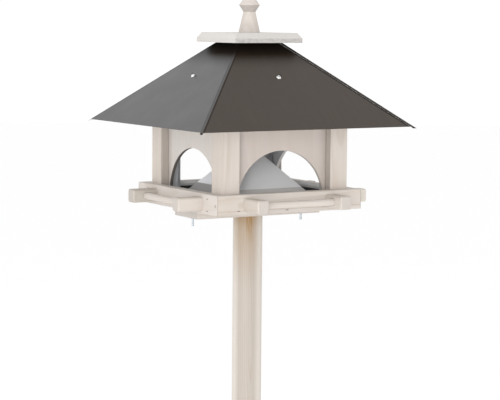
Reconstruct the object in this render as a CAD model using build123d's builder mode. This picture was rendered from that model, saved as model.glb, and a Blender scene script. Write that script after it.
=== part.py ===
from build123d import *
import math
import os

# Bird feeder: a small open house with a sheet-metal pyramid roof, on a round pole.
# Millimetres, +Z up. The origin is the middle of the pole's foot, at ground level.
# The front of the house faces -Y. The sides are alike, a quarter turn apart, but for the arch
# at the back and the plank and bolts that run from left to right under the tray.
# Heights named "above the tray" are counted from the underside of the tray.

# Round pole and the plank on top of it
pole_length = 1150
pole_diameter = 58
plank_inset = 21
plank_width = 90
plank_thickness = 18

# Tray: four boards on edge round a thin floor
tray_side = 318
tray_board_thickness = 20
tray_board_height = 38
tray_edge_easing = 1.2
floor_thickness = 12
floor_gap = 0.3

# Corner posts, grooved for the arch panels
post_width = 38
groove_depth = 8
panel_thickness = 6.5
panel_clearance = 0.2
arch_margin = 5.5
arch_centre_above_tray = 19.2
back_arch_margin = 13.5
back_arch_centre_above_tray = 97

# Top rails between the posts, bevelled to carry the roof
rail_thickness = 18
rail_height = 24

# Roof: four identical sheets, each folded round one hip to lap its neighbour
eave_side = 460
eave_above_tray = 160.7
roof_slope = 40.4
roof_top_side = 92
sheet_thickness = 1
hip_lap = 6
hip_tip = 3
screw_diameter = 3.5
screw_length = 14
screw_head_diameter = 10
screw_head_height = 2
screw_head_taper = 45
screw_clearance = 0.1
screw_offset = 6

# Lift-off cap: board, finial and the block that centres it in the roof's hole
cap_side = 150
cap_edge_height = 8.4
cap_bevel_height = 10.6
cap_bevel_width = 7.4
locator_height = 16
locator_clearance = 2.5
tenon_diameter = 10
tenon_length = 8
tenon_clearance = 0.1
finial_base_diameter = 42
finial_neck_diameter = 23.5
finial_ridge_diameter = 40
finial_top_diameter = 26
finial_neck_height = 40
finial_ridge_height = 53
finial_height = 63.5

# Perches: a dowel between two blocks on each side of the tray
perch_block_length = 52
perch_block_width = 24
perch_block_height = 25.5
perch_block_above_tray = 5.5
perch_block_end_bevel = 2
perch_block_edge_bevel = 2.5
perch_block_spacing = 182
dowel_diameter = 13
dowel_reach = 24
dowel_socket_depth = 12
dowel_clearance = 0.1

# Seed spreader: an upright sheet-metal pyramid between the posts
pyramid_height = 108
pyramid_post_gap = 1
pyramid_tip_side = 2

# Coach bolts through the floor and the head plank
bolt_diameter = 4
bolt_hole_clearance = 0.25
bolt_inset = 15
bolt_below_plank = 18
bolt_head_diameter = 11
bolt_head_height = 2.4
bolt_head_taper = 45
bolt_neck_side = 5
bolt_neck_length = 3
nut_width = 7
nut_height = 3.2
nut_clearance = 0.1

# Heights and half widths worked out from the sizes above
tray_bottom = pole_length + plank_thickness
floor_top = tray_bottom + floor_thickness
tray_half = tray_side / 2
tray_inner_half = tray_half - tray_board_thickness
post_inner_half = tray_inner_half - post_width
panel_offset = tray_inner_half - post_width / 2
plank_length = tray_side - 2 * plank_inset
bolt_spacing = plank_length - 2 * bolt_inset

roof_bottom = tray_bottom + eave_above_tray
roof_lean = math.radians(roof_slope)
roof_pitch = math.tan(roof_lean)
sheet_run = sheet_thickness / math.sin(roof_lean)
eave_under_half = eave_side / 2 - sheet_run
top_under_half = roof_top_side / 2 - sheet_run
roof_top = roof_bottom + (eave_under_half - top_under_half) * roof_pitch
cap_top = roof_top + cap_edge_height + cap_bevel_height

quarter_turns = {"front": 0, "right": 90, "back": 180, "left": 270}
os.makedirs("parts", exist_ok=True)


def roof_underside(half):
    """Height of the roof's underside at this distance from the axis."""
    return roof_bottom + (eave_under_half - half) * roof_pitch


def roof_plane(side, lift=0, half=eave_under_half):
    """The underside of one roof face, or a plane this far above it, with its origin on this line."""
    turn = math.radians(quarter_turns[side])
    out_x, out_y = math.sin(turn), -math.cos(turn)
    return Plane(
        origin=(out_x * half, out_y * half, roof_underside(half)),
        x_dir=(-out_y, out_x, 0),
        z_dir=(out_x * math.sin(roof_lean), out_y * math.sin(roof_lean), math.cos(roof_lean)),
    ).offset(lift)


def save(part, name):
    """Label one finished piece and write it to its own file."""
    part.label = name
    export_step(part, f"parts/{name}.step")


def save_each_side(part, name, end=""):
    """Write the front piece and its three copies, each a quarter turn on."""
    for side, angle in quarter_turns.items():
        save(Rot(0, 0, angle) * part, f"{name}_{side}{end}")


# The pole, cut square at both ends
with BuildPart() as pole:
    with BuildSketch(Plane.XY):
        Circle(pole_diameter / 2)
    extrude(amount=pole_length)
save(pole.part, "pole")

# The plank that spreads the load of the house on the pole, bored for the two bolts
with BuildPart() as head_plank:
    with BuildSketch(Plane.XY.offset(pole_length)):
        Rectangle(plank_length, plank_width)
        with GridLocations(bolt_spacing, 0, 2, 1):
            Circle(bolt_diameter / 2 + bolt_hole_clearance, mode=Mode.SUBTRACT)
    extrude(amount=plank_thickness)
save(head_plank.part, "head_plank")

# The floor fills the frame, with a square mortise for the neck of each bolt
with BuildPart() as floor_board:
    with BuildSketch(Plane.XY.offset(tray_bottom)):
        Rectangle(2 * (tray_inner_half - floor_gap), 2 * (tray_inner_half - floor_gap))
        with GridLocations(bolt_spacing, 0, 2, 1):
            Circle(bolt_diameter / 2 + bolt_hole_clearance, mode=Mode.SUBTRACT)
    extrude(amount=floor_thickness)
    with BuildSketch(Plane.XY.offset(floor_top)):
        with GridLocations(bolt_spacing, 0, 2, 1):
            Rectangle(bolt_neck_side + 2 * bolt_hole_clearance, bolt_neck_side + 2 * bolt_hole_clearance)
    extrude(amount=-bolt_neck_length - bolt_hole_clearance, mode=Mode.SUBTRACT)
save(floor_board.part, "floor_board")


# A tray board stands on edge, with its ends mitred to meet the next boards at the corners
with BuildPart() as tray_board:
    with BuildSketch(Plane.XY.offset(tray_bottom)):
        with BuildLine():
            Polyline(
                (-tray_half, -tray_half),
                (tray_half, -tray_half),
                (tray_inner_half, -tray_inner_half),
                (-tray_inner_half, -tray_inner_half),
                close=True,
            )
        make_face()
    extrude(amount=tray_board_height)
    outer_top = tray_board.edges().group_by(Axis.Y)[0].sort_by(Axis.Z)[-1]
    chamfer(outer_top, tray_edge_easing)
save_each_side(tray_board.part, "tray_board")

# A corner post stands on the floor, inside the frame, with a groove in each inner face
with BuildPart() as post:
    with BuildSketch(Plane.XY.offset(floor_top)):
        with Locations((-panel_offset, -panel_offset)):
            Rectangle(post_width, post_width)
        groove_width = panel_thickness + 2 * panel_clearance
        with Locations((-post_inner_half - groove_depth / 2, -panel_offset)):
            Rectangle(groove_depth, groove_width, mode=Mode.SUBTRACT)
        with Locations((-panel_offset, -post_inner_half - groove_depth / 2)):
            Rectangle(groove_width, groove_depth, mode=Mode.SUBTRACT)
    extrude(amount=roof_underside(tray_inner_half) - floor_top)
corners = {"front_left": 0, "front_right": 90, "back_right": 180, "back_left": 270}
for corner, angle in corners.items():
    save(Rot(0, 0, angle) * post.part, f"post_{corner}")

# A thin panel closes each side above a round arch. Its edges run in the grooves
rail_outer = panel_offset + rail_thickness / 2
rail_inner = panel_offset - rail_thickness / 2
rail_bottom = roof_underside(rail_outer) - rail_height
panel_top = rail_bottom + groove_depth - panel_clearance


def arch_panel(radius, centre):
    """The panel of the front side, open below a round arch of this radius about this height."""
    with BuildPart() as panel:
        with BuildSketch(Plane.XZ.offset(panel_offset)):
            with Locations((0, (floor_top + panel_top) / 2)):
                Rectangle(2 * (post_inner_half + groove_depth - panel_clearance), panel_top - floor_top)
            with Locations((0, centre)):
                Circle(radius, mode=Mode.SUBTRACT)
            with Locations((0, (floor_top + centre) / 2)):
                Rectangle(2 * radius, centre - floor_top, mode=Mode.SUBTRACT)
        extrude(amount=panel_thickness / 2, both=True)
    return panel.part


# The arch at the back is a little narrower and much taller than the other three
side_arch = arch_panel(post_inner_half - arch_margin, tray_bottom + arch_centre_above_tray)
back_arch = arch_panel(post_inner_half - back_arch_margin, tray_bottom + back_arch_centre_above_tray)
for side, angle in quarter_turns.items():
    save(Rot(0, 0, angle) * (back_arch if side == "back" else side_arch), f"arch_panel_{side}")

# A rail joins two posts. Its bevelled top lies against the sheet, its groove takes the panel.
# The roof screw enters the rail to the left of its middle, square to the roof
screw_plane = roof_plane("front", sheet_thickness, half=panel_offset)
with BuildPart() as top_rail:
    with BuildSketch(Plane.YZ):
        with BuildLine():
            Polyline(
                (-rail_outer, rail_bottom),
                (-rail_inner, rail_bottom),
                (-rail_inner, roof_underside(rail_inner)),
                (-rail_outer, roof_underside(rail_outer)),
                close=True,
            )
        make_face()
        with Locations((-panel_offset, rail_bottom + groove_depth / 2)):
            Rectangle(groove_width, groove_depth, mode=Mode.SUBTRACT)
    extrude(amount=post_inner_half, both=True)
    with BuildSketch(screw_plane):
        with Locations((-screw_offset, 0)):
            Circle(screw_diameter / 2 + screw_clearance)
    extrude(amount=-screw_length - screw_clearance, mode=Mode.SUBTRACT)
save_each_side(top_rail.part, "top_rail")

# The flange of the front sheet, turned round the left hip on to the left sheet's outer face.
# Its tip hangs a little below the eave
blank_side = 2 * eave_side
with BuildPart() as hip_flange:
    with BuildSketch(roof_plane("left", sheet_thickness)):
        Rectangle(blank_side, blank_side)
    extrude(amount=sheet_thickness)
    split(bisect_by=roof_plane("front", sheet_thickness), keep=Keep.BOTTOM)
    split(bisect_by=roof_plane("front", -hip_lap * math.sin(roof_lean)), keep=Keep.TOP)
    split(bisect_by=Plane.XY.offset(roof_bottom - hip_tip), keep=Keep.TOP)
    split(bisect_by=Plane.XY.offset(roof_top), keep=Keep.BOTTOM)

# A roof sheet, from the eave up to the filling hole. Its left edge covers the left sheet's
# edge and carries the flange, and its right edge stops at the right sheet
with BuildPart() as roof_sheet:
    with BuildSketch(roof_plane("front")):
        Rectangle(blank_side, blank_side)
    extrude(amount=sheet_thickness)
    split(bisect_by=roof_plane("left", sheet_thickness), keep=Keep.BOTTOM)
    split(bisect_by=roof_plane("right"), keep=Keep.BOTTOM)
    split(bisect_by=Plane.XY.offset(roof_bottom), keep=Keep.TOP)
    split(bisect_by=Plane.XY.offset(roof_top), keep=Keep.BOTTOM)
    add(hip_flange.part)
    with BuildSketch(screw_plane):
        with Locations((-screw_offset, 0)):
            Circle(screw_diameter / 2 + screw_clearance)
    extrude(amount=sheet_thickness, both=True, mode=Mode.SUBTRACT)
save_each_side(roof_sheet.part, "roof_sheet")

# One domed screw holds each sheet to its rail
with BuildPart() as screw:
    with BuildSketch(screw_plane):
        with Locations((-screw_offset, 0)):
            Circle(screw_diameter / 2)
    extrude(amount=-screw_length)
    with BuildSketch(screw_plane):
        with Locations((-screw_offset, 0)):
            Circle(screw_head_diameter / 2)
    extrude(amount=screw_head_height, taper=screw_head_taper)
save(Compound([Rot(0, 0, angle) * screw.part for angle in quarter_turns.values()]), "roof_screws")

# The cap board rests on the top edges of the sheets and is bevelled all round
with BuildPart() as cap_board:
    with BuildSketch(Plane.XY.offset(roof_top)):
        Rectangle(cap_side, cap_side)
    extrude(amount=cap_edge_height)
    with BuildSketch(Plane.XY.offset(roof_top + cap_edge_height)):
        Rectangle(cap_side, cap_side)
    with BuildSketch(Plane.XY.offset(cap_top)):
        Rectangle(cap_side - 2 * cap_bevel_width, cap_side - 2 * cap_bevel_width)
    loft(ruled=True)
    with BuildSketch(Plane.XY.offset(cap_top)):
        Circle(tenon_diameter / 2 + tenon_clearance)
    extrude(amount=-tenon_length - tenon_clearance, mode=Mode.SUBTRACT)
save(cap_board.part, "cap_board")

# The turned finial, with a tenon into the cap board
with BuildPart() as finial:
    with BuildSketch(Plane.XZ):
        with BuildLine():
            Polyline(
                (0, cap_top),
                (finial_base_diameter / 2, cap_top),
                (finial_neck_diameter / 2, cap_top + finial_neck_height),
                (finial_ridge_diameter / 2, cap_top + finial_ridge_height),
                (finial_top_diameter / 2, cap_top + finial_height),
                (0, cap_top + finial_height),
                close=True,
            )
        make_face()
        with Locations((tenon_diameter / 4, cap_top - tenon_length / 2)):
            Rectangle(tenon_diameter / 2, tenon_length)
    revolve(axis=Axis.Z)
save(finial.part, "finial")

# The block under the cap board, which drops into the filling hole and centres the cap
with BuildPart() as cap_locator:
    with BuildSketch(Plane.XY.offset(roof_top)):
        Rectangle(2 * (top_under_half - locator_clearance), 2 * (top_under_half - locator_clearance))
    extrude(amount=-locator_height)
save(cap_locator.part, "cap_locator")

# Perch blocks stand out from the tray, bevelled along their edges and at the outer end, each with
# a blind socket for the dowel
perch_height = tray_bottom + perch_block_above_tray + perch_block_height / 2
block_inner_face = perch_block_spacing / 2 - perch_block_width / 2
with BuildPart() as perch_block:
    with BuildSketch(Plane.XZ.offset(tray_half)):
        with Locations((perch_block_spacing / 2, perch_height)):
            Rectangle(perch_block_width, perch_block_height)
    extrude(amount=perch_block_length)
    chamfer(perch_block.edges().filter_by(Axis.Y), perch_block_edge_bevel)
    chamfer(perch_block.faces().sort_by(Axis.Y)[0].edges(), perch_block_end_bevel)
    with BuildSketch(Plane.YZ.offset(block_inner_face)):
        with Locations((-tray_half - dowel_reach, perch_height)):
            Circle(dowel_diameter / 2 + dowel_clearance)
    extrude(amount=dowel_socket_depth, mode=Mode.SUBTRACT)
save_each_side(perch_block.part, "perch_block", "_right")
save_each_side(mirror(perch_block.part, about=Plane.YZ), "perch_block", "_left")

# The dowel ends just short of the bottom of each socket
with BuildPart() as perch_dowel:
    with BuildSketch(Plane.YZ):
        with Locations((-tray_half - dowel_reach, perch_height)):
            Circle(dowel_diameter / 2)
    extrude(amount=block_inner_face + dowel_socket_depth - dowel_clearance, both=True)
save_each_side(perch_dowel.part, "perch_dowel")

# The seed spreader is a hollow pyramid of sheet that stands on the floor between the posts
pyramid_half = post_inner_half - pyramid_post_gap
pyramid_lean = math.atan((pyramid_half - pyramid_tip_side / 2) / pyramid_height)
pyramid_wall_run = sheet_thickness / math.cos(pyramid_lean)
inner_height = pyramid_height - pyramid_wall_run / math.tan(pyramid_lean)
with BuildPart() as seed_pyramid:
    with BuildSketch(Plane.XY.offset(floor_top)):
        Rectangle(2 * pyramid_half, 2 * pyramid_half)
    extrude(amount=pyramid_height, taper=math.degrees(pyramid_lean))
    with BuildSketch(Plane.XY.offset(floor_top)):
        Rectangle(2 * (pyramid_half - pyramid_wall_run), 2 * (pyramid_half - pyramid_wall_run))
    extrude(amount=inner_height, taper=math.degrees(pyramid_lean), mode=Mode.SUBTRACT)
save(seed_pyramid.part, "seed_pyramid")

# A coach bolt: head on the floor, square neck in its mortise, end below the nut
with BuildPart() as bolt:
    with BuildSketch(Plane.XY.offset(pole_length - bolt_below_plank)):
        with Locations((bolt_spacing / 2, 0)):
            Circle(bolt_diameter / 2)
    extrude(amount=bolt_below_plank + plank_thickness + floor_thickness)
    with BuildSketch(Plane.XY.offset(floor_top)):
        with Locations((bolt_spacing / 2, 0)):
            Rectangle(bolt_neck_side, bolt_neck_side)
    extrude(amount=-bolt_neck_length)
    with BuildSketch(Plane.XY.offset(floor_top)):
        with Locations((bolt_spacing / 2, 0)):
            Circle(bolt_head_diameter / 2)
    extrude(amount=bolt_head_height, taper=bolt_head_taper)
save(bolt.part, "bolt_right")
save(Rot(0, 0, 180) * bolt.part, "bolt_left")

# Its hex nut, tight under the head plank
with BuildPart() as nut:
    with BuildSketch(Plane.XY.offset(pole_length)):
        with Locations((bolt_spacing / 2, 0)):
            RegularPolygon(nut_width / 2, 6, major_radius=False)
            Circle(bolt_diameter / 2 + nut_clearance, mode=Mode.SUBTRACT)
    extrude(amount=-nut_height)
save(nut.part, "nut_right")
save(Rot(0, 0, 180) * nut.part, "nut_left")
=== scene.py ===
# %% [markdown]
# A bird feeder on a pole: an open timber house under a roof of dark coated sheet, with a perch on
# each side. The solids come ready from the frame, each as one named node, in metres, +Z up.
# This lesson gives them their looks: whitewashed timber whose grain follows each board, coated
# sheet, zinc, and the small staples that hold the tray together. Small sizes are written in
# millimetres, and mm is the length of one.

# %% Load the frame and measure it
import bmesh
import bpy
import math
import random
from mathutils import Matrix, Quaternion, Vector


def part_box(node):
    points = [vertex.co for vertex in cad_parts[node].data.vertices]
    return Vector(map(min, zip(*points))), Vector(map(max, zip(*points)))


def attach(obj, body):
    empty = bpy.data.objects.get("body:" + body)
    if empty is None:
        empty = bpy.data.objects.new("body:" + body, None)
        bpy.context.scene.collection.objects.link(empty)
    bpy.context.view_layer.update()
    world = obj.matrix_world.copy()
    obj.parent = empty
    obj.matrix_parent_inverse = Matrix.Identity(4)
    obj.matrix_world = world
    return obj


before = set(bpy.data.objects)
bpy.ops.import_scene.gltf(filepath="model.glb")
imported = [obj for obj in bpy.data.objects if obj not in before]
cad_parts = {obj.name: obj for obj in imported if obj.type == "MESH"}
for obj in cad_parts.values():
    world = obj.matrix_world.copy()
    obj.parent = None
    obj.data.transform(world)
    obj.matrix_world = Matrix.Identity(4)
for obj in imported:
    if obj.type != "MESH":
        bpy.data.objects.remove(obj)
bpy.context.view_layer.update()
mm = 0.001

# %% [markdown]
# The feeder stands on a plain pale floor. A single large disc is enough: it reaches past the edge
# of every view, and a white world stands behind it. A disc is made in mesh code from one ring of
# points and one face, which keeps the script free of stand-in primitives.

# %% The floor
floor_radius = 22.0
floor_drop = 0.2 * mm
floor_points = 96


def paint(name, colour, roughness):
    """A plain even finish, for what is not part of the object."""
    material = bpy.data.materials.new(name)
    material.use_nodes = True
    shader = material.node_tree.nodes["Principled BSDF"]
    shader.inputs["Base Color"].default_value = (*colour, 1.0)
    shader.inputs["Roughness"].default_value = roughness
    return material


disc = bmesh.new()
edge_points = []
for step in range(floor_points):
    turn = 2 * math.pi * step / floor_points
    edge_points.append(disc.verts.new((floor_radius * math.cos(turn), floor_radius * math.sin(turn), 0)))
disc.faces.new(edge_points)
floor_mesh = bpy.data.meshes.new("studio_floor")
disc.to_mesh(floor_mesh)
disc.free()
floor = bpy.data.objects.new("studio_floor", floor_mesh)
floor.location.z = -floor_drop
floor_mesh.materials.append(paint("studio_floor_paint", (0.95, 0.95, 0.95), roughness=0.9))
bpy.context.scene.collection.objects.link(floor)
print("floor disc", 2 * floor_radius, "m across")

# %% [markdown]
# The light is that of a white studio: soft and nearly the same from all sides. A white world gives
# the even part. A large soft lamp low at the front left gives the rest, and a small cool one behind
# adds a faint sheen on the edges. The Standard view keeps the floor white where it is brighter.

# %% World and lamps
world = bpy.data.worlds.new("white_studio")
world.use_nodes = True
sky = world.node_tree.nodes["Background"]
sky.inputs["Color"].default_value = (1.0, 1.0, 1.0, 1.0)
sky.inputs["Strength"].default_value = 1.04
bpy.context.scene.world = world
bpy.context.scene.view_settings.view_transform = "Standard"
bpy.context.scene.view_settings.look = "None"


def softbox(name, place, aim, size, power, colour=(1.0, 1.0, 1.0)):
    """A square area lamp that faces a point and doesn't show itself."""
    lamp = bpy.data.lights.new(name, "AREA")
    lamp.size = size
    lamp.energy = power
    lamp.color = colour
    holder = bpy.data.objects.new(name, lamp)
    holder.location = place
    holder.rotation_euler = (Vector(aim) - Vector(place)).to_track_quat("-Z", "Y").to_euler()
    holder.visible_camera = False
    bpy.context.scene.collection.objects.link(holder)


house_middle = Vector((0, 0, 1.3))
softbox("front_softbox", (-3.1, -3.5, 1.2), house_middle, size=3.0, power=120)
softbox("back_softbox", (-0.1, 4.2, 3.9), house_middle, size=2.0, power=6, colour=(0.6, 0.8, 1.0))
print("world strength", round(sky.inputs["Strength"].default_value, 2))

# %% [markdown]
# The camera stands where the photographer stood: to the left of the front, a little above the tray,
# with a long lens. It aims at the tray. The lens is given by the focal length in pixels of a
# picture 500 pixels wide, which is how it was fitted. A slight shift of the lens to the side makes
# up for the way in which the photo was cropped.

# %% The camera
picture_width = 500
focal_pixels = 1783
sensor_width = 36.0
lens_shift = 0.0042
turn_left = math.radians(30.68)
look_down = math.radians(5.94)
roll = math.radians(0.46)
camera_distance = 3.5
aim_above_tray = 8.9 * mm
tray_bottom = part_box("floor_board")[0].z

toward_camera = Vector((
    -math.sin(turn_left) * math.cos(look_down),
    -math.cos(turn_left) * math.cos(look_down),
    math.sin(look_down),
))
camera_data = bpy.data.cameras.new("photo_camera")
camera_data.sensor_width = sensor_width
camera_data.sensor_fit = "HORIZONTAL"
camera_data.lens = focal_pixels / picture_width * sensor_width
camera_data.shift_x = lens_shift
camera_data.clip_end = 60
camera = bpy.data.objects.new("photo_camera", camera_data)
camera.rotation_mode = "QUATERNION"
camera.location = Vector((0, 0, tray_bottom + aim_above_tray)) + toward_camera * camera_distance
camera.rotation_quaternion = (-toward_camera).to_track_quat("-Z", "Y") @ Quaternion((0, 0, 1), roll)
bpy.context.scene.collection.objects.link(camera)
bpy.context.scene.camera = camera
print("camera at", [round(value, 3) for value in camera.location], "lens", round(camera_data.lens, 1))

# %% [markdown]
# A finish is easier to read as a formula than as a list of nodes and links. So one small class
# wraps a socket: adding or multiplying two of them places the Math node that does it. Values with
# three parts go to Vector Math, because a plain Math node would turn a colour grey.

# %% Shader sums as Python sums
class Wire:
    """An output socket. Arithmetic on it adds the nodes that work out the result."""

    def __init__(self, finish, socket):
        self.finish = finish
        self.socket = socket

    def __getitem__(self, name):
        """Another output of the same node."""
        return Wire(self.finish, self.socket.node.outputs[name])

    def calculate(self, operation, *terms):
        """One Math node, or one Vector Math node where a term has three parts."""
        wide = any(is_wide(term) for term in terms)
        kind = "ShaderNodeVectorMath" if wide else "ShaderNodeMath"
        return self.finish.add(kind, {"operation": operation}, dict(enumerate(terms)))

    def __add__(self, other):
        return self.calculate("ADD", self, other)

    def __radd__(self, other):
        return self.calculate("ADD", other, self)

    def __sub__(self, other):
        return self.calculate("SUBTRACT", self, other)

    def __rsub__(self, other):
        return self.calculate("SUBTRACT", other, self)

    def __mul__(self, other):
        return self.calculate("MULTIPLY", self, other)

    def __truediv__(self, other):
        return self.calculate("DIVIDE", self, other)

    def __abs__(self):
        return self.calculate("ABSOLUTE", self)


def is_wide(term):
    """True for a vector or a colour, as a value or on a socket."""
    if isinstance(term, Wire):
        return term.socket.type in ("VECTOR", "RGBA")
    return isinstance(term, (tuple, Vector))


# %% [markdown]
# The material itself is a second small class. Its method add places any node: the settings come
# first, because they decide which sockets the node shows, and then its sockets get their values or
# links. The helpers under it name the few steps that every finish here is made of.

# %% A finish and its steps
class Finish:
    """A material under construction."""

    def __init__(self, name):
        self.material = bpy.data.materials.new(name)
        self.material.use_nodes = True
        self.tree = self.material.node_tree
        self.shader = self.tree.nodes["Principled BSDF"]

    def add(self, kind, settings=None, sockets=None):
        """Place a node and return its first output."""
        node = self.tree.nodes.new(kind)
        for name, value in (settings or {}).items():
            setattr(node, name, value)
        for key, value in (sockets or {}).items():
            self.feed(self.find(node.inputs, key), value)
        return Wire(self, next(socket for socket in node.outputs if socket.enabled))

    def find(self, sockets, key):
        """A socket by its place in the row or by its name."""
        if isinstance(key, int):
            return sockets[key]
        return next(socket for socket in sockets if socket.name == key and socket.enabled)

    def feed(self, socket, value):
        """Link a wire to a socket, or set the socket's own value."""
        if isinstance(value, Wire):
            self.tree.links.new(value.socket, socket)
        elif socket.type == "VECTOR":
            socket.default_value = value if is_wide(value) else (value, value, value)
        elif socket.type == "RGBA":
            socket.default_value = (*value, 1.0)
        else:
            socket.default_value = value

    def surface(self, **sockets):
        """Feed the shader: an underscore in a name stands for a space."""
        for name, value in sockets.items():
            self.feed(self.shader.inputs[name.replace("_", " ")], value)

    def place(self):
        """Where a point of the surface lies in the row frame, in millimetres."""
        coordinates = self.add("ShaderNodeTexCoord")["Object"]
        return coordinates * (1 / mm)

    def length(self, vector):
        """The length of a vector."""
        return self.add("ShaderNodeVectorMath", {"operation": "LENGTH"}, {0: vector})["Value"]

    def dot(self, vector, other):
        """How far one vector runs along another."""
        both = {0: vector, 1: other}
        return self.add("ShaderNodeVectorMath", {"operation": "DOT_PRODUCT"}, both)["Value"]

    def toward(self, direction):
        """How squarely the surface faces a direction: 1 if it does, 0 if side on, -1 if away."""
        normal = self.add("ShaderNodeTexCoord")["Normal"]
        return self.dot(normal, direction)

    def greatest(self, first, *others):
        """The greatest of several values."""
        for other in others:
            first = self.add("ShaderNodeMath", {"operation": "MAXIMUM"}, {0: first, 1: other})
        return first

    def noise(self, vector, detail=2.0, roughness=0.5):
        """Soft random values round one half, one unit from hill to hill."""
        sockets = {"Vector": vector, "Scale": 1.0, "Detail": detail, "Roughness": roughness}
        return self.add("ShaderNodeTexNoise", None, sockets)

    def ease(self, value, start, end):
        """From 0 at start to 1 at end, without a corner."""
        sockets = {"Value": value, "From Min": start, "From Max": end}
        return self.add("ShaderNodeMapRange", {"interpolation_type": "SMOOTHSTEP"}, sockets)

    def blend(self, share, first, second):
        """A colour between two colours."""
        return self.add("ShaderNodeMix", {"data_type": "RGBA"}, {"Factor": share, "A": first, "B": second})

    def bump(self, height, depth, radius):
        """Relief of this depth, on a form whose edges are eased by this radius, both in millimetres."""
        eased = self.add("ShaderNodeBevel", {"samples": 6}, {"Radius": radius * mm})
        return self.add("ShaderNodeBump", None, {"Height": height, "Distance": depth * mm, "Normal": eased})

    def cover(self, share, colour):
        """A matte film over the first shader, where the share is above zero."""
        film = self.add("ShaderNodeBsdfDiffuse", None, {"Color": colour})
        coat = Wire(self, self.shader.outputs["BSDF"])
        both = self.add("ShaderNodeMixShader", None, {0: share, 1: coat, 2: film})
        self.feed(self.tree.nodes["Material Output"].inputs["Surface"], both)


def dress(node, finish):
    """Give a node of the frame its finish."""
    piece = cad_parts[node]
    for slot in piece.material_slots:
        slot.link = "OBJECT"
        slot.material = finish.material


# %% [markdown]
# All the timber is softwood under a thin white glaze. One formula serves every piece: the piece is
# cut in thought from a log whose heart runs beside it, so that the yearly rings draw arches on the
# broad faces, straight lines on the narrow ones and arcs on the ends. A picture of wood could not
# do that. Each piece draws its own heart from a seed made of its name.

# %% Where the log's heart lies
axis_numbers = {"X": 0, "Y": 1, "Z": 2}


def per_axis(grain, across, along):
    """A vector with one value along the grain and another on the two axes across it."""
    values = [across, across, across]
    values[axis_numbers[grain]] = along
    return Vector(values)


def find_heart(node, grain, depth):
    """A point of the log's heart, off the broad face of the piece, in millimetres."""
    low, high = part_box(node)
    middle = (low + high) / 2 / mm
    size = (high - low) / mm
    draw = random.Random(node)
    crosswise = (axis for axis in "XYZ" if axis != grain)
    wide, thin = sorted(crosswise, key=lambda axis: -size[axis_numbers[axis]])
    heart = middle.copy()
    heart[axis_numbers[thin]] += depth * draw.choice((-1, 1)) * draw.uniform(0.8, 1.2)
    heart[axis_numbers[wide]] += size[axis_numbers[wide]] * draw.uniform(-0.35, 0.35)
    return heart


tray_heart = find_heart("tray_board_front", "X", depth=45)
print("heart of the front tray board in mm:", [round(value, 1) for value in tray_heart])

# %% [markdown]
# The growth rings come first. The distance from the heart is divided by the width of a ring, and
# the fraction that is left says where in its year a point grew. Pale early wood fades into a
# narrow dark band of late wood, which ends sharply. The log is neither straight nor round, so a
# slow wander and a lean are added to the distance.

# %% Rings and fibres
ring_wander = 18
late_starts = 0.25
late_ends = 0.9


def growth(finish, place, node, grain, depth, ring_width):
    """How much late wood a point has, from 0 to 1."""
    draw = random.Random(node + " rings")
    heart = find_heart(node, grain, depth)
    lean = per_axis(grain, 1, 0) * draw.uniform(-0.03, 0.03)
    shift = Vector((draw.uniform(0, 90), draw.uniform(0, 90), draw.uniform(0, 90)))
    along = finish.dot(place, per_axis(grain, 0, 1))
    section = (place - heart) * per_axis(grain, 1, 0) + along * lean
    wander = finish.noise(place * per_axis(grain, 0.022, 0.0035) + shift, detail=2.0)
    reach = finish.length(section) + (wander - 0.5) * ring_wander
    ring = finish.add("ShaderNodeMath", {"operation": "FRACT"}, {0: reach / ring_width})
    return finish.ease(ring, late_starts, late_ends) - finish.ease(ring, late_ends, 1.0)


def fibres(finish, place, node, grain):
    """Fine streaks that run with the grain."""
    shift = random.Random(node + " fibres").uniform(0, 90)
    return finish.noise(place * per_axis(grain, 0.85, 0.014) + shift, detail=3.0, roughness=0.6)


def clouds(finish, place, node, grain, across, along):
    """Slow changes of tone, longer along the grain than across it."""
    shift = random.Random(f"{node} clouds {across}").uniform(0, 90)
    return finish.noise(place * per_axis(grain, across, along) + shift, detail=3.0)


# %% [markdown]
# Over the rings lies the glaze. It covers about three quarters of the colour below, less on late
# wood, which takes up little of it, and unevenly where the brush left more or less. End grain
# drinks it and stays darker and greyer. A stain is one more colour, let in by a soft mask.

# %% The whitewashed timber
early_wood = (0.55, 0.465, 0.38)
late_wood = (0.45, 0.345, 0.25)
end_wood = (0.42, 0.40, 0.38)
white_glaze = (0.57, 0.535, 0.505)


def timber(node, grain, depth=55, ring_width=5.0, glaze=white_glaze, cover=0.78, stain=None):
    """Dress one timber piece, whose grain runs along this axis."""
    finish = Finish(f"{node}_wood")
    place = finish.place()
    late = growth(finish, place, node, grain, depth, ring_width)
    fine = fibres(finish, place, node, grain)
    slow = clouds(finish, place, node, grain, 0.016, 0.006)
    streaks = clouds(finish, place, node, grain, 0.09, 0.004)
    bare = finish.blend(late, early_wood, late_wood)
    opacity = cover + (slow - 0.5) * 0.4 - (fine - 0.5) * 0.2 - late * 0.08
    colour = finish.blend(opacity, bare, glaze) * (1 + (streaks - 0.5) * 0.12)
    end = finish.ease(abs(finish.toward(per_axis(grain, 0, 1))), 0.6, 0.95)
    colour = finish.blend(end * 0.45, colour, end_wood)
    if stain:
        colour = stain(finish, place, colour)
    finish.surface(
        Base_Color=colour,
        Roughness=0.58 + (fine - 0.5) * 0.25 + end * 0.2,
        Normal=finish.bump(fine * 0.6 + late * 0.4, depth=0.25, radius=1.0),
    )
    dress(node, finish)
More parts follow.
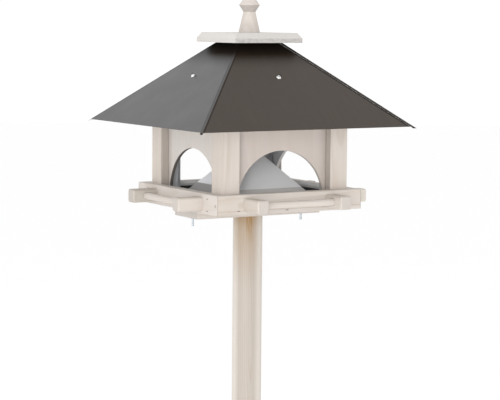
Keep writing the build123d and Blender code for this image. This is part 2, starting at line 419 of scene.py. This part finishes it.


# %% [markdown]
# The pole is a round stick of pine turned close to its heart, so it shows broad upright streaks.
# Rain has washed tannin out from under the head plank. The brown has a narrow dark core at the
# front left and a broad faint part round it, which fades 155 mm below the plank. Within 30 mm of
# the plank it is darker still, partly stain and partly painted shade under the plank. Along both
# sides the wood is painted paler, a painted sheen. Each part is placed by the way the surface faces
# and the depth below the plank.

# %% The pole
up = Vector((0, 0, 1))
pole_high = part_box("pole")[1] / mm
core_turn = math.radians(-23)
broad_turn = math.radians(-46)
pale_turn = math.radians(59)
core_reach = 66
broad_reach = 155
top_reach = 30
stain_colour = (0.28, 0.155, 0.04)
side_sheen_pale = (0.625, 0.58, 0.525)
pole_glaze = (0.38, 0.35, 0.32)


def sideways(turn):
    """A level direction, this far round from the front."""
    return Vector((math.sin(turn), -math.cos(turn), 0))


def stain_shade_and_sheen(finish, place, colour):
    """Stain fading down and round the pole, painted shade under the plank, painted sheen at the sides."""
    below = pole_high.z - finish.dot(place, up)
    # Paler on both sides of the pole: a painted sheen.
    pale_side = finish.toward(sideways(pale_turn))
    pale = finish.ease(pale_side, 0.4, 0.85) + finish.ease(pale_side, -0.5, -0.88)
    ragged = finish.ease(finish.noise(place * Vector((0.3, 0.3, 0.035)), detail=4.0), 0.35, 0.6)
    toward_broad = finish.toward(sideways(broad_turn))
    toward_core = finish.toward(sideways(core_turn))
    broad = finish.ease(toward_broad, 0.3, 0.97) * finish.ease(below, broad_reach, 12)
    core = finish.ease(toward_core, 0.95, 0.995) * finish.ease(below, core_reach, 14)
    # Near the plank: partly stain, partly painted shade under the plank.
    top = finish.ease(below, top_reach, 0) * (1 - pale * 0.35)
    share = broad * 0.40 + top * 0.26 + core * (0.1 + ragged * 0.32)
    return finish.blend(share, finish.blend(pale * 0.85, colour, side_sheen_pale), stain_colour)


timber("pole", "Z", depth=7, ring_width=4.2, glaze=pole_glaze, cover=0.74, stain=stain_shade_and_sheen)
print("pole", round(2 * pole_high.x, 1), "mm across and", round(pole_high.z, 1), "mm long")

# %% [markdown]
# Posts and panels stand, and so does their grain. Behind the panels the wood is painted a darker
# grey: painted shade inside the house. The sawn edges of the left arch are painted dark, as shade,
# and those of the right one pale, as light. A thin dark joint runs beside each post, and painted
# shade widens from it over the panel. A stain function knows where it is from the place and from
# the way the surface faces, so one finish serves all faces of a piece.

# %% Inside and outside
outward = {
    "front": Vector((0, -1, 0)),
    "right": Vector((1, 0, 0)),
    "back": Vector((0, 1, 0)),
    "left": Vector((-1, 0, 0)),
}
inside_shade_grey = (0.47, 0.475, 0.49)
joint_and_shade_brown = (0.20, 0.165, 0.135)
sawn_edge_shade = (0.075, 0.065, 0.055)
sawn_edge_light = (0.93, 0.91, 0.89)
joint_line = 2.4
joint_shade_fade = 20
inner_panel_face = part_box("arch_panel_right")[0].x / mm
post_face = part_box("post_front_right")[0].x / mm


def shade_behind_panel(side, edge_colour):
    """For a panel: painted shade on the inner face, the given painted tone on the sawn edges, a dark joint
    and painted shade beside the posts.
    """
    def stain(finish, place, colour):
        toward = finish.toward(outward[side])
        inner = finish.ease(toward, -0.4, -0.8)
        edge = (1 - finish.ease(abs(toward), 0.1, 0.5)) * 0.9
        beside = abs(finish.dot(place, outward[side].cross(up)))
        narrow = finish.ease(beside, post_face - joint_line, post_face - 0.6) * 0.45
        # The wide fade is painted shade in the corner beside the post.
        wide = finish.ease(beside, post_face - joint_shade_fade, post_face) * 0.2
        jointed = finish.blend(narrow + wide, colour, joint_and_shade_brown)
        return finish.blend(edge, finish.blend(inner, jointed, inside_shade_grey), edge_colour or jointed)
    return stain


def post_shade(finish, place, colour):
    """For a post: painted shade inside the house and on the faces that look along a panel."""
    from_middle = place * Vector((1, 1, 0))
    along_panel = finish.ease(finish.toward(from_middle), 20, -20)
    # Painted shade on the faces that look along a panel.
    thin = colour * (1 - along_panel * 0.22)
    far = finish.greatest(
        abs(finish.dot(place, outward["right"])),
        abs(finish.dot(place, outward["back"])),
    )
    inside = finish.ease(far, inner_panel_face + 0.8, inner_panel_face - 0.8)
    return finish.blend(inside, thin, inside_shade_grey)


print("inner faces, mm from the middle: panels", round(inner_panel_face, 1), "posts", round(post_face, 1))

# %% [markdown]
# Each piece now gets its finish by one call, and the letter after its name is the axis of its
# grain. The rails lie, the panels and posts stand. A panel is cut from far out in a log with wide
# rings, so that a few broad bands cross it. The front and back panels have a warmer glaze.

# %% The posts, panels and rails
side_grain = {"front": "X", "back": "X", "left": "Y", "right": "Y"}
warm_glaze = (0.515, 0.46, 0.425)
post_glaze = (0.555, 0.51, 0.475)
panel_looks = {
    "front": (warm_glaze, None),
    "right": (white_glaze, sawn_edge_light),
    "back": (warm_glaze, None),
    "left": (white_glaze, sawn_edge_shade),
}
for side, grain in side_grain.items():
    timber(f"top_rail_{side}", grain, depth=40)
for side, (glaze, edge_colour) in panel_looks.items():
    stain = shade_behind_panel(side, edge_colour)
    timber(f"arch_panel_{side}", "Z", depth=260, ring_width=16.0, glaze=glaze, cover=0.93, stain=stain)
for corner in ("front_left", "front_right", "back_right", "back_left"):
    timber(f"post_{corner}", "Z", depth=38, glaze=post_glaze, stain=post_shade)
print("materials so far:", len(bpy.data.materials))

# %% [markdown]
# The floor and the inner faces of the tray boards are painted nearly black up to a line below the
# rim, and over that line runs a grey strip: painted shade in the trough. The rim itself is painted
# pale, as light. Outside the boards are clean but for a thin line at each mitre. The front board
# also has a brown tint at its left end, partly its own tone and partly painted shade, painted shade
# beside the perch block, and a seam of grain.

# %% The tray and the plank
tray_low, tray_high = (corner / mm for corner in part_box("tray_board_front"))
block_low, block_high = (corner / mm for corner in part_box("perch_block_front_left"))
beside_block = 4
block_root = Vector((block_low.x - beside_block, block_high.y, (block_low.z + block_high.z) / 2))
lit_rim_to = 4.5
shade_grey_from = 6.5
shade_grey_to = 8.5
shade_black_from = 11
mitre_line = 1.6
seam_below_rim = 28.5
trough_shade_black = (0.022, 0.020, 0.018)
trough_shade_grey = (0.58, 0.575, 0.57)
lit_rim_pale = (0.86, 0.85, 0.84)
tint_and_shade_brown = (0.36, 0.28, 0.20)
grain_brown = (0.34, 0.24, 0.16)
mitre_brown = (0.26, 0.21, 0.17)


def brown_marks(finish, place, below, outer, colour):
    """For the outside of the front tray board: a tint at its left end, partly painted shade, painted shade
    beside the perch block, and a seam of grain.
    """
    left_end = finish.ease(finish.dot(place, outward["right"]), block_root.x + 14, block_root.x - 30)
    # The ring round the block's root is painted shade beside the block.
    root = finish.length((place - block_root) * Vector((1, 0, 1.3)))
    tint_and_shade = (left_end * 0.25 + finish.ease(root, 14, 2) * 0.3) * outer
    wander = finish.noise(place * Vector((0.02, 0, 0)), detail=1.0) * 3
    seam = (1 - finish.ease(abs(below - seam_below_rim - wander), 0.3, 1.1)) * outer * 0.4
    return finish.blend(seam, finish.blend(tint_and_shade, colour, tint_and_shade_brown), grain_brown)


def trough_shade_and_mitres(side):
    """For a tray board: inside, painted light at the rim and painted shade below, grey then black; outside
    a line at each mitre.
    """
    def stain(finish, place, colour):
        toward = finish.toward(outward[side])
        inner = finish.ease(toward, -0.4, -0.8)
        outer = finish.ease(toward, 0.5, 0.9)
        below = tray_high.z - finish.dot(place, up)
        # Painted light on the rim, then painted shade lower down the inner face: grey, then black.
        lit_rim = finish.blend(inner, colour, lit_rim_pale)
        shade_greyed = finish.blend(inner * finish.ease(below, lit_rim_to, shade_grey_from), lit_rim, trough_shade_grey)
        trough_shaded = finish.blend(inner * finish.ease(below, shade_grey_to, shade_black_from), shade_greyed, trough_shade_black)
        beside = abs(finish.dot(place, outward[side].cross(up)))
        mitre = finish.ease(beside, tray_high.x - mitre_line, tray_high.x - 0.4) * outer * 0.5
        mitred = finish.blend(mitre, trough_shaded, mitre_brown)
        return brown_marks(finish, place, below, outer, mitred) if side == "front" else mitred
    return stain


def black_on_top(finish, place, colour):
    """For the floor: black on what faces up, painted shade in the trough."""
    return finish.blend(finish.ease(finish.toward(up), 0.4, 0.8), colour, trough_shade_black)


timber("head_plank", "X", depth=40)
timber("floor_board", "X", depth=60, stain=black_on_top)
for side, grain in side_grain.items():
    timber(f"tray_board_{side}", grain, depth=45, stain=trough_shade_and_mitres(side))
print("tray from", round(tray_low.z, 1), "to", round(tray_high.z, 1), "mm above the ground")

# %% [markdown]
# The cap has a thicker, greyer glaze. Its grain runs from front to back, which shows grey end
# grain on the front edge. Its underside is near black, painted shade, and the roof mirrors that as
# a dark zone under the cap. The finial is turned wood, with painted shade where it faces down.

# %% The cap
cap_glaze = (0.60, 0.58, 0.56)
underside_shade = (0.02, 0.018, 0.016)
streak_grey = (0.30, 0.29, 0.285)


def shaded_underside_and_streaks(finish, place, colour):
    """Painted shade on what faces down, and grey streaks in the end grain."""
    streaks = finish.noise(place * Vector((0.16, 0.5, 0.45)) + 40, detail=4.0, roughness=0.7)
    end = finish.ease(abs(finish.toward(outward["back"])), 0.8, 0.95)
    grey = (0.15 + finish.ease(streaks, 0.44, 0.6) * 0.5) * end
    streaked = finish.blend(grey, colour, streak_grey)
    return finish.blend(finish.ease(finish.toward(up), -0.7, -0.9), streaked, underside_shade)


def shade_below(finish, place, colour):
    """Painted shade where the turned form faces down."""
    return colour * (1 - finish.ease(finish.toward(up), -0.2, -0.6) * 0.28)


timber("cap_board", "Y", depth=60, glaze=cap_glaze, cover=0.9, stain=shaded_underside_and_streaks)
timber("cap_locator", "Y", depth=60)
timber("finial", "Z", depth=12, stain=shade_below)
cap_low, cap_high = (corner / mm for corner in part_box("cap_board"))
print("cap board", round(cap_high.x - cap_low.x, 1), "mm wide")

# %% [markdown]
# The perch blocks and dowels are the same timber. A block's grain runs outward, so that its end
# shows grey end grain. The dowel's grain runs with its length, which is how dowels are made. Two
# of the blocks have another glaze than the rest: one is darker, and one is almost cream, painted light.

# %% The perches
perch_glaze = (0.535, 0.495, 0.46)
unlike_blocks = {"left_left": (0.42, 0.385, 0.35), "right_left": (0.68, 0.65, 0.59)}
for side, grain in side_grain.items():
    across = "Y" if grain == "X" else "X"
    timber(f"perch_dowel_{side}", grain, depth=60, ring_width=3.5, cover=0.8)
    for end in ("left", "right"):
        glaze = unlike_blocks.get(f"{side}_{end}", perch_glaze)
        timber(f"perch_block_{side}_{end}", across, depth=40, glaze=glaze)
print("timber finishes:", len([m for m in bpy.data.materials if m.name.endswith("_wood")]))

# %% [markdown]
# The roof is sheet steel with a dark brown coat. The coat is smooth enough to carry a soft sheen of
# the white surroundings, which is why the side seen more aslant looks greyer. Under that sheen lie
# a fine speckle, a slow change of tone and faint runs down the slope. A sheen can't be darkened by
# the colour below it, so a matte black film is laid over the coat with a Mix Shader. It is painted
# shade in the folds of the hips, painted shadow at the flanges' free edges and on the sheet beside
# them, and painted shade in the strip under the cap; it also darkens the flanges a little and the
# tips that hang below the eaves. Two sheets have their own shares of it.

# %% The roof sheets
roof_brown = (0.021, 0.0105, 0.0025)
roof_dust = (0.040, 0.028, 0.014)
backing_grey = (0.75, 0.75, 0.74)
film_black = (0.006, 0.006, 0.007)
tip_hang = 3
cap_shade_strip = 50
flange_reach = 9.1
roof_top = cap_low.z
eave_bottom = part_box("roof_sheet_front")[0].z / mm + tip_hang
plain_hip_film_shares = (0.5, 0.45, 0.2)
hip_film_shares = {"front": (0.58, 0.45, 0.75), "right": (0.2, 0.85, 0.2)}


def dark_film(finish, place, side, along):
    """How much dark film covers a point of one sheet, painted shade and shadow mostly, measured from its
    hips, its eave and the cap.
    """
    height = finish.dot(place, up)
    hip = finish.dot(place, outward[side]) - abs(finish.dot(place, along))
    fold_share, edge_share, lap_share = hip_film_shares.get(side, plain_hip_film_shares)
    # Painted shade in the fold of the hip, and painted shadow at and beside the flange's free edge.
    fold = (1 - finish.ease(abs(hip - 1.2), 0.6, 2.1)) * fold_share
    flange_edge = (1 - finish.ease(abs(hip + flange_reach - 0.8), 1.4, 2.2)) * edge_share
    flange = finish.ease(hip, -0.2, -1.2) * fold_share * 0.4
    lapped = finish.ease(finish.dot(place, up.cross(outward[side])), 0, 1)
    lap_shade = (1 - finish.ease(abs(hip - flange_reach - 1), 0.9, 2.4)) * lapped * lap_share
    tip = finish.ease(height, eave_bottom + 0.5, eave_bottom - 1) * 0.85
    # Painted shade under the cap.
    cap_shade = finish.ease(height, roof_top - cap_shade_strip, roof_top - 4) * 0.7
    return finish.greatest(cap_shade, fold, flange_edge, flange, lap_shade, tip)


def roof_coat(side, along):
    """The coat of one sheet, whose eave runs along this direction, with pale primer below."""
    finish = Finish(f"roof_sheet_{side}_coat")
    place = finish.place()
    speckle = finish.noise(place * 1.1, detail=2.0)
    patches = finish.noise(place * 0.018, detail=3.0)
    runs = finish.noise(place * (along * 0.112 + Vector((0.008, 0.008, 0.008))), detail=2.0)
    slow_dust = finish.ease(patches * 0.5 + runs * 0.5, 0.45, 0.75)
    dust = finish.ease(speckle, 0.55, 0.8) * 0.35 + slow_dust * 0.3
    under = finish.ease(finish.toward(up), -0.3, -0.6)
    finish.surface(
        Base_Color=finish.blend(under, finish.blend(dust, roof_brown, roof_dust), backing_grey),
        Roughness=0.36 + (patches - 0.5) * 0.10 + (runs - 0.5) * 0.04,
        Normal=finish.bump(speckle * 0.3 + patches * 8, depth=0.05, radius=0.5),
        IOR=1.53,
    )
    finish.cover(dark_film(finish, place, side, along) * (1 - under), film_black)
    dress(f"roof_sheet_{side}", finish)


for side in ("front", "back"):
    roof_coat(side, Vector((1, 0, 0)))
for side in ("left", "right"):
    roof_coat(side, Vector((0, 1, 0)))
print("roof from", round(eave_bottom, 1), "to", round(roof_top, 1), "mm above the ground")

# %% [markdown]
# Bare metal is left. Zinc has a cloudy spangle, and one function gives it to the bolts, the nuts
# and the roof screws, each in its own tone. The seed spreader inside is a light grey sheet that
# mirrors only faintly. Up to the level of the tray's rim it is darker, duller and less metallic, a
# little higher and darker on its left face, and its front face has painted shade beside the left hip.

# %% The spreader and the fixings
def zinc(nodes, name, colour, roughness):
    """Dull zinc with its cloudy spangle."""
    finish = Finish(name)
    spangle = finish.noise(finish.place() * 0.22, detail=2.0)
    darker = tuple(0.8 * part for part in colour)
    finish.surface(
        Base_Color=finish.blend(finish.ease(spangle, 0.3, 0.7), darker, colour),
        Roughness=roughness + (spangle - 0.5) * 0.15,
        Metallic=1.0,
        Normal=finish.bump(spangle, depth=0.05, radius=0.3),
    )
    for node in nodes:
        dress(node, finish)


spreader_light = (0.97, 0.965, 0.97)
spreader_dull = (0.90, 0.895, 0.90)
spreader_low_grey = (0.62, 0.60, 0.585)


def spreader_coat():
    """Light grey sheet, darker and duller up to the tray's rim, with painted shade beside one hip."""
    finish = Finish("spreader_coat")
    place = finish.place()
    patches = finish.noise(place * 0.02, detail=3.0)
    scuffs = finish.noise(place * 0.4, detail=3.0)
    leftward = finish.ease(finish.toward(outward["left"]), 0.3, 0.5)
    frontward = finish.ease(finish.toward(outward["front"]), 0.3, 0.5)
    height = finish.dot(place, up)
    dust = finish.ease(height - leftward * 3, tray_high.z + 0.8, tray_high.z - 0.8)
    from_hip = abs(finish.dot(place, outward["back"])) + finish.dot(place, outward["right"])
    # Below the rim the left face is darker; beside the left hip the front face gets painted shade.
    darkening = dust * leftward * 0.35 + finish.ease(from_hip, 40, -4) * frontward * 0.42
    tone = finish.ease(patches, 0.3, 0.7) * 0.3 + finish.ease(scuffs, 0.5, 0.75) * 0.2
    clean = finish.blend(tone, spreader_light, spreader_dull)
    finish.surface(
        Base_Color=finish.blend(dust, clean, spreader_low_grey) * (1 - darkening),
        Roughness=0.32 + dust * 0.2 + (scuffs - 0.5) * 0.1,
        Metallic=0.16 - dust * 0.12,
        Normal=finish.bump(patches, depth=0.1, radius=0.5),
    )
    dress("seed_pyramid", finish)


spreader_coat()
zinc(["bolt_left", "bolt_right"], "bolt_zinc", (0.50, 0.55, 0.59), roughness=0.45)
zinc(["nut_left", "nut_right"], "nut_zinc", (0.05, 0.05, 0.05), roughness=0.5)
zinc(["roof_screws"], "roof_screw_zinc", (0.92, 0.92, 0.91), roughness=0.35)
print("materials so far:", len(bpy.data.materials))

# %% [markdown]
# The tray boards are joined at the corners by staples, shot in from outside. Only the crown of a
# staple shows: a flat wire that dips into the wood at both ends. One is bent from a row of cross
# sections in mesh code. Modelling it costs little, and its small shadow is what the eye expects.
# Each has its distance from the tray's corner, its height above the tray's underside and its way.
# One more sits near the middle of the front board and of the back board.

# %% The staples
staple_length = 6.8
staple_width = 1.3
staple_proud = 0.35
staple_sunk = 0.5
staple_line = (
    (-0.5, -staple_sunk),
    (-0.38, staple_proud),
    (0.38, staple_proud),
    (0.5, -staple_sunk),
)


def staple(mesh, centre, along, out):
    """Add the crown of one staple: its middle stands proud, its ends dip into the board."""
    across = out.cross(along)
    rows = []
    for share, height in staple_line:
        place = centre + along * share * staple_length + out * height
        corners = [across * half * staple_width for half in (-0.5, 0.5)]
        top = [mesh.verts.new((place + corner) * mm) for corner in corners]
        foot = [mesh.verts.new((place + corner - out * staple_sunk) * mm) for corner in corners]
        rows.append([top[0], top[1], foot[1], foot[0]])
    for near, far in zip(rows, rows[1:]):
        for step in range(4):
            following = (step + 1) % 4
            mesh.faces.new([near[step], near[following], far[following], far[step]])
    mesh.faces.new(rows[0][::-1])
    mesh.faces.new(rows[-1])


def finish_mesh(mesh, name, material):
    """Turn the mesh in work into an object of the house, with a finish of the record."""
    bmesh.ops.recalc_face_normals(mesh, faces=mesh.faces)
    data = bpy.data.meshes.new(name)
    mesh.to_mesh(data)
    mesh.free()
    data.materials.append(material)
    piece = bpy.data.objects.new(name, data)
    bpy.context.scene.collection.objects.link(piece)
    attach(piece, "house")


def wire_steel():
    """Dull staple wire with a breath of rust."""
    finish = Finish("staple_wire")
    rust = finish.ease(finish.noise(finish.place() * 0.5, detail=3.0), 0.4, 0.65)
    finish.surface(
        Base_Color=finish.blend(rust, (0.16, 0.15, 0.145), (0.12, 0.075, 0.045)),
        Metallic=0.7 - rust * 0.6,
        Roughness=0.45 + rust * 0.3,
    )
    return finish.material


staple_material = wire_steel()
corner_staples = ((39, 29, "level"), (39, 6, "level"), (9, 18, "upright"))
face_staples = ((45, 8, "level"),)
middle_staple_offset = -8
middle_staple_height = 5.5
middle_staple_lean = 0.12
staple_count = 0
for side, out in outward.items():
    along = up.cross(out)
    face = out * tray_high.x + up * tray_low.z
    mesh = bmesh.new()
    for inset, height, way in corner_staples if side in ("left", "right") else face_staples:
        for end in (-1, 1):
            centre = face + along * end * (tray_high.x - inset) + up * height
            staple(mesh, centre, up if way == "upright" else along, out)
            staple_count += 1
    if side in ("front", "back"):
        centre = face + along * middle_staple_offset + up * middle_staple_height
        staple(mesh, centre, (along + up * middle_staple_lean).normalized(), out)
        staple_count += 1
    finish_mesh(mesh, f"staples_{side}", staple_material)
print("staples:", staple_count)

# %% [markdown]
# Each roof screw has a black rubber washer under its head, and a thin rim of it shows. Where a
# washer lies is read from the screw itself: the points nearest the head's top give its middle, and
# the head's points give its radius and its foot. So the washer stays in place if the roof changes.

# %% Where the screw heads sit
screw_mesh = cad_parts["roof_screws"].data
head_depth = 3
top_tolerance = 0.05


def screw_seat(out):
    """Of the screw on one side: the middle of its seat, the way it points and its head's radius."""
    level = up.cross(out)
    faces = [face for face in screw_mesh.polygons if face.center.dot(out) > 2 * abs(face.center.dot(level))]
    axis = max(faces, key=lambda face: face.area * (face.normal.z > 0.5)).normal.copy()
    numbers = {number for face in faces for number in face.vertices}
    spots = [screw_mesh.vertices[number].co / mm for number in numbers]
    head_top = max(spot.dot(axis) for spot in spots)
    top_rim = [spot for spot in spots if spot.dot(axis) > head_top - top_tolerance]
    top_centre = sum(top_rim, Vector()) / len(top_rim)
    head = [spot - top_centre for spot in spots if spot.dot(axis) > head_top - head_depth]
    radius = max(spot.cross(axis).length for spot in head)
    foot = min(spot.dot(axis) for spot in head)
    return top_centre + axis * foot, axis, radius


screw_seats = {side: screw_seat(out) for side, out in outward.items()}
for side, (seat, axis, head_radius) in screw_seats.items():
    print(side, "screw at", [round(value, 1) for value in seat], "head radius", round(head_radius, 2))

# %% [markdown]
# The part of a washer that shows is a ring: four circles of points, each joined to the next, and
# the last joined to the first. The outer side leans in a little towards its top.

# %% The washers of the roof screws
washer_width = 1.1
washer_thickness = 0.7
washer_edge = 0.2
washer_points = 48


def washer(mesh, seat, axis, level, head_radius):
    """Add one ring round a screw's axis."""
    upward = axis.cross(level)
    rings = []
    for radius, height in (
        (head_radius - washer_edge, 0.0),
        (head_radius + washer_width, 0.0),
        (head_radius + washer_width - washer_edge, washer_thickness),
        (head_radius - washer_edge, washer_thickness),
    ):
        ring = []
        for step in range(washer_points):
            turn = 2 * math.pi * step / washer_points
            spoke = level * math.cos(turn) + upward * math.sin(turn)
            ring.append(mesh.verts.new((seat + spoke * radius + axis * height) * mm))
        rings.append(ring)
    for ring, following in zip(rings, rings[1:] + rings[:1]):
        for step in range(washer_points):
            nearby = (step + 1) % washer_points
            mesh.faces.new([ring[step], ring[nearby], following[nearby], following[step]])


def rubber():
    """Matte black rubber, a little dusty."""
    finish = Finish("washer_rubber")
    dust = finish.ease(finish.noise(finish.place() * 0.8, detail=2.0), 0.45, 0.7)
    finish.surface(Base_Color=finish.blend(dust, (0.02, 0.02, 0.02), (0.06, 0.057, 0.053)), Roughness=0.8)
    return finish.material


rubber_material = rubber()
for side, (seat, axis, head_radius) in screw_seats.items():
    mesh = bmesh.new()
    washer(mesh, seat, axis, up.cross(outward[side]), head_radius)
    finish_mesh(mesh, f"screw_washer_{side}", rubber_material)
print("washers:", len(screw_seats))
